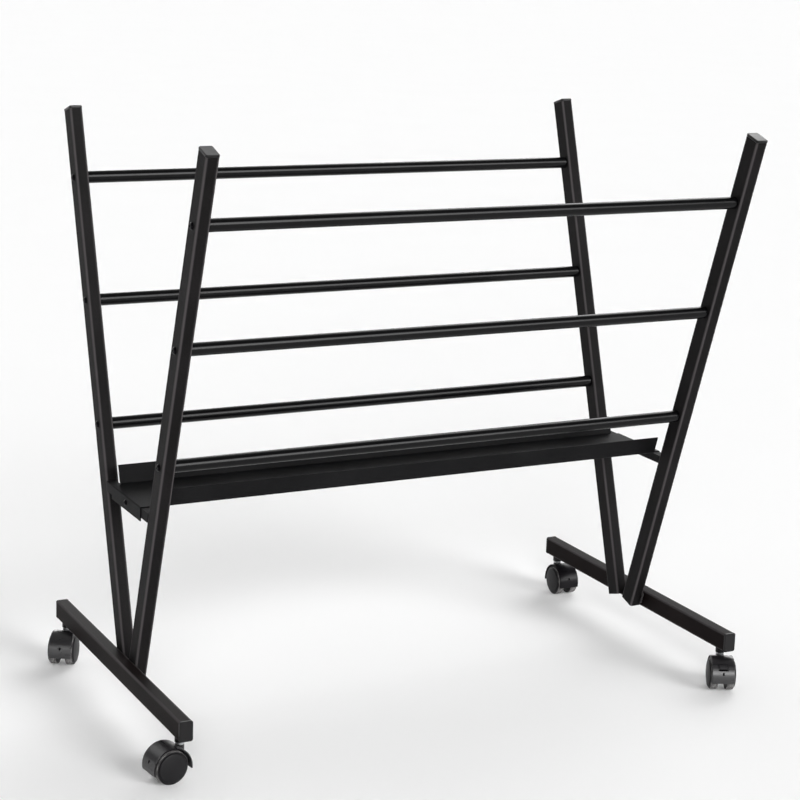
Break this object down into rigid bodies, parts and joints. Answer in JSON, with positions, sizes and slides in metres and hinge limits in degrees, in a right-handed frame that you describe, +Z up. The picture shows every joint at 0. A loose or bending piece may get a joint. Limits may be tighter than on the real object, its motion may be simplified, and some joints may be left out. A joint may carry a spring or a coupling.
{
  "type": "drawing board storage cart",
  "caption": "V-shaped rack of black steel tube on swivel castors, with a tray and rails that hold drawing boards and prints on edge.",
  "frame": {"origin": "on the floor, under the middle of the cart: midway between the feet, and midway along them", "axes": "+X to the right as seen from the front, +Y from front to back, +Z up"},
  "size_m": [1.0067, 0.6, 0.8969],
  "materials": {
    "powder_coat": "black satin powder coat with fine orange peel",
    "black_steel": "black-finished steel fasteners",
    "cap_plastic": "black moulded polyethylene",
    "castor_plastic": "black moulded nylon, fine matt grain",
    "wheel_plastic": "black moulded nylon, tread scuffed by use",
    "zinc_steel": "bright zinc plate"
  },
  "bodies": {
    "frame": {"left_foot_tube": "powder_coat", "left_tray_bracket": "powder_coat", "left_front_upright": "powder_coat", "left_front_foot_cap": "cap_plastic", "left_front_top_cap": "cap_plastic", "left_rear_upright": "powder_coat", "left_rear_foot_cap": "cap_plastic", "left_rear_top_cap": "cap_plastic", "right_foot_tube": "powder_coat", "right_tray_bracket": "powder_coat", "right_front_upright": "powder_coat", "right_front_foot_cap": "cap_plastic", "right_front_top_cap": "cap_plastic", "right_rear_upright": "powder_coat", "right_rear_foot_cap": "cap_plastic", "right_rear_top_cap": "cap_plastic", "front_bottom_rail": "powder_coat", "front_middle_rail": "powder_coat", "front_top_rail": "powder_coat", "rear_bottom_rail": "powder_coat", "rear_middle_rail": "powder_coat", "rear_top_rail": "powder_coat", "tray": "powder_coat", "rail_bolts": "black_steel", "rail_inserts": "zinc_steel", "tray_screws": "black_steel", "tray_nuts": "zinc_steel", "stem_sleeves": "cap_plastic", "left_front_castor_stem": "zinc_steel", "left_rear_castor_stem": "zinc_steel", "right_front_castor_stem": "zinc_steel", "right_rear_castor_stem": "zinc_steel"},
    "left_front_castor": {"left_front_castor_hood": "castor_plastic", "left_front_castor_axle": "zinc_steel"},
    "left_front_castor_left_wheel": {"left_front_castor_left_wheel": "wheel_plastic"},
    "left_front_castor_right_wheel": {"left_front_castor_right_wheel": "wheel_plastic"},
    "left_rear_castor": {"left_rear_castor_hood": "castor_plastic", "left_rear_castor_axle": "zinc_steel"},
    "left_rear_castor_left_wheel": {"left_rear_castor_left_wheel": "wheel_plastic"},
    "left_rear_castor_right_wheel": {"left_rear_castor_right_wheel": "wheel_plastic"},
    "right_front_castor": {"right_front_castor_hood": "castor_plastic", "right_front_castor_axle": "zinc_steel"},
    "right_front_castor_left_wheel": {"right_front_castor_left_wheel": "wheel_plastic"},
    "right_front_castor_right_wheel": {"right_front_castor_right_wheel": "wheel_plastic"},
    "right_front_castor_brake_pedal": {"right_front_castor_brake_pedal": "castor_plastic"},
    "right_rear_castor": {"right_rear_castor_hood": "castor_plastic", "right_rear_castor_axle": "zinc_steel"},
    "right_rear_castor_left_wheel": {"right_rear_castor_left_wheel": "wheel_plastic"},
    "right_rear_castor_right_wheel": {"right_rear_castor_right_wheel": "wheel_plastic"}
  },
  "joints": [
    {"name": "left_front_castor_swivel", "type": "hinge", "parent": "frame", "child": "left_front_castor", "pos_m": [-0.466, -0.2515, 0.0507], "axis": [0, 0, 1], "continuous": true},
    {"name": "left_front_castor_left_wheel_spin", "type": "hinge", "parent": "left_front_castor", "child": "left_front_castor_left_wheel", "pos_m": [-0.48729, -0.25449, 0.025], "axis": [0.1392, -0.9903, 0], "continuous": true},
    {"name": "left_front_castor_right_wheel_spin", "type": "hinge", "parent": "left_front_castor", "child": "left_front_castor_right_wheel", "pos_m": [-0.48729, -0.25449, 0.025], "axis": [0.1392, -0.9903, 0], "continuous": true},
    {"name": "left_rear_castor_swivel", "type": "hinge", "parent": "frame", "child": "left_rear_castor", "pos_m": [-0.466, 0.2515, 0.0507], "axis": [0, 0, 1], "continuous": true},
    {"name": "left_rear_castor_left_wheel_spin", "type": "hinge", "parent": "left_rear_castor", "child": "left_rear_castor_left_wheel", "pos_m": [-0.47739, 0.23327, 0.025], "axis": [0.848, -0.5299, 0], "continuous": true},
    {"name": "left_rear_castor_right_wheel_spin", "type": "hinge", "parent": "left_rear_castor", "child": "left_rear_castor_right_wheel", "pos_m": [-0.47739, 0.23327, 0.025], "axis": [0.848, -0.5299, 0], "continuous": true},
    {"name": "right_front_castor_swivel", "type": "hinge", "parent": "frame", "child": "right_front_castor", "pos_m": [0.466, -0.2515, 0.0507], "axis": [0, 0, 1], "continuous": true},
    {"name": "right_front_castor_left_wheel_spin", "type": "hinge", "parent": "right_front_castor", "child": "right_front_castor_left_wheel", "pos_m": [0.45624, -0.27066, 0.025], "axis": [0.891, -0.454, 0], "continuous": true},
    {"name": "right_front_castor_right_wheel_spin", "type": "hinge", "parent": "right_front_castor", "child": "right_front_castor_right_wheel", "pos_m": [0.45624, -0.27066, 0.025], "axis": [0.891, -0.454, 0], "continuous": true},
    {"name": "right_front_castor_brake_pedal_press", "type": "hinge", "parent": "right_front_castor", "child": "right_front_castor_brake_pedal", "pos_m": [0.45595, -0.27122, 0.04299], "axis": [0.891, -0.454, 0], "range_deg": [0, 6.5]},
    {"name": "right_rear_castor_swivel", "type": "hinge", "parent": "frame", "child": "right_rear_castor", "pos_m": [0.466, 0.2515, 0.0507], "axis": [0, 0, 1], "continuous": true},
    {"name": "right_rear_castor_left_wheel_spin", "type": "hinge", "parent": "right_rear_castor", "child": "right_rear_castor_left_wheel", "pos_m": [0.4645, 0.23005, 0.025], "axis": [0.9976, -0.0698, 0], "continuous": true},
    {"name": "right_rear_castor_right_wheel_spin", "type": "hinge", "parent": "right_rear_castor", "child": "right_rear_castor_right_wheel", "pos_m": [0.4645, 0.23005, 0.025], "axis": [0.9976, -0.0698, 0], "continuous": true}
  ]
}
